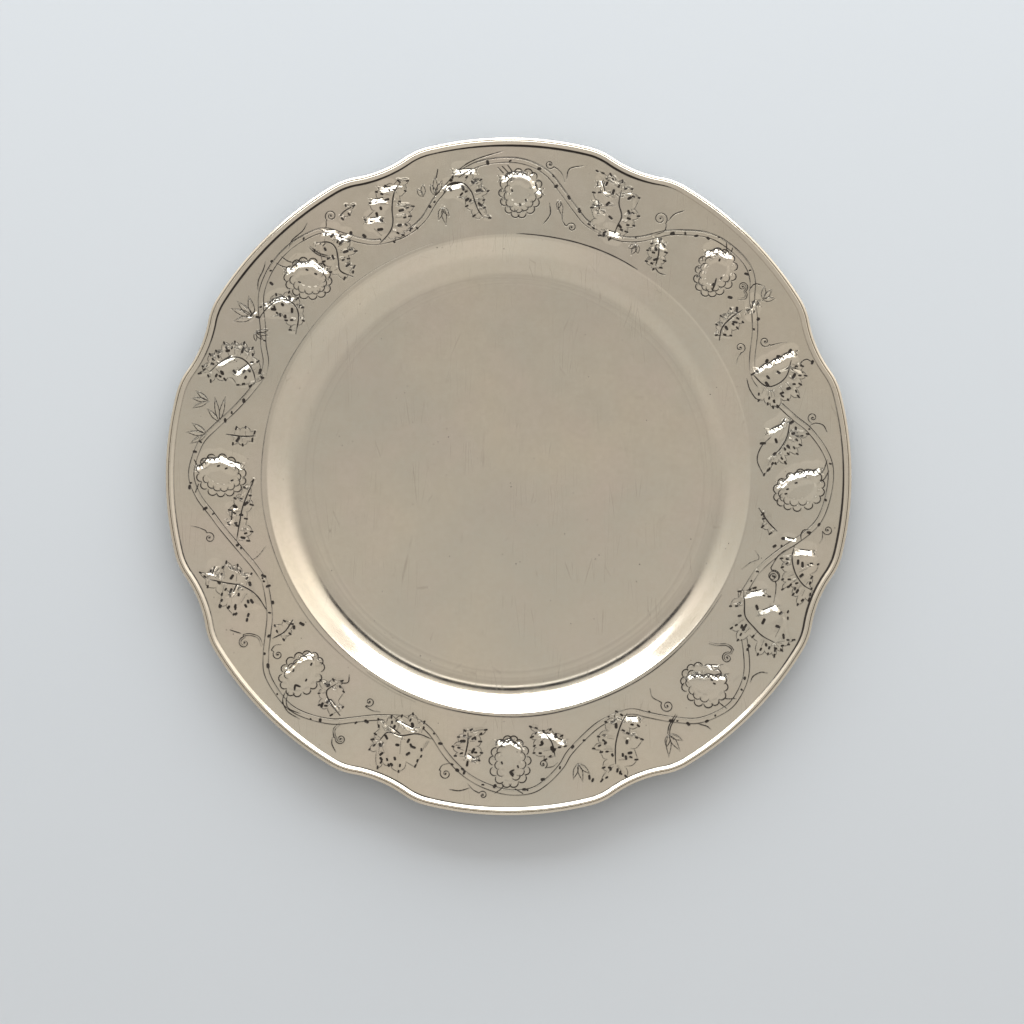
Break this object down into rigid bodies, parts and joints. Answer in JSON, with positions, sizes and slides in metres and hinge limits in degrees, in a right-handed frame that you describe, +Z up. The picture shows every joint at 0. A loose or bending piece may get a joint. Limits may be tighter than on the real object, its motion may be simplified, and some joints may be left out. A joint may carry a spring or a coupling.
{
  "type": "salver",
  "caption": "Round silver salver with a flat well, a wide chased border and a lobed edge trimmed with applied rim wires.",
  "frame": {"origin": "centre of the underside of the well, where the salver rests", "axes": "+Z up out of the well; +X and +Y each through the middle of a lobe, +Y towards the top of the salver as it is displayed"},
  "size_m": [0.305, 0.305, 0.0113],
  "materials": {
    "chased_silver": "hand-raised silver, softly worn, darkened in the chased lines",
    "bright_silver": "polished silver wire"
  },
  "bodies": {
    "root": {"plate_body": "chased_silver", "rim_bead": "bright_silver", "rim_edge_wire": "bright_silver"}
  },
  "joints": []
}
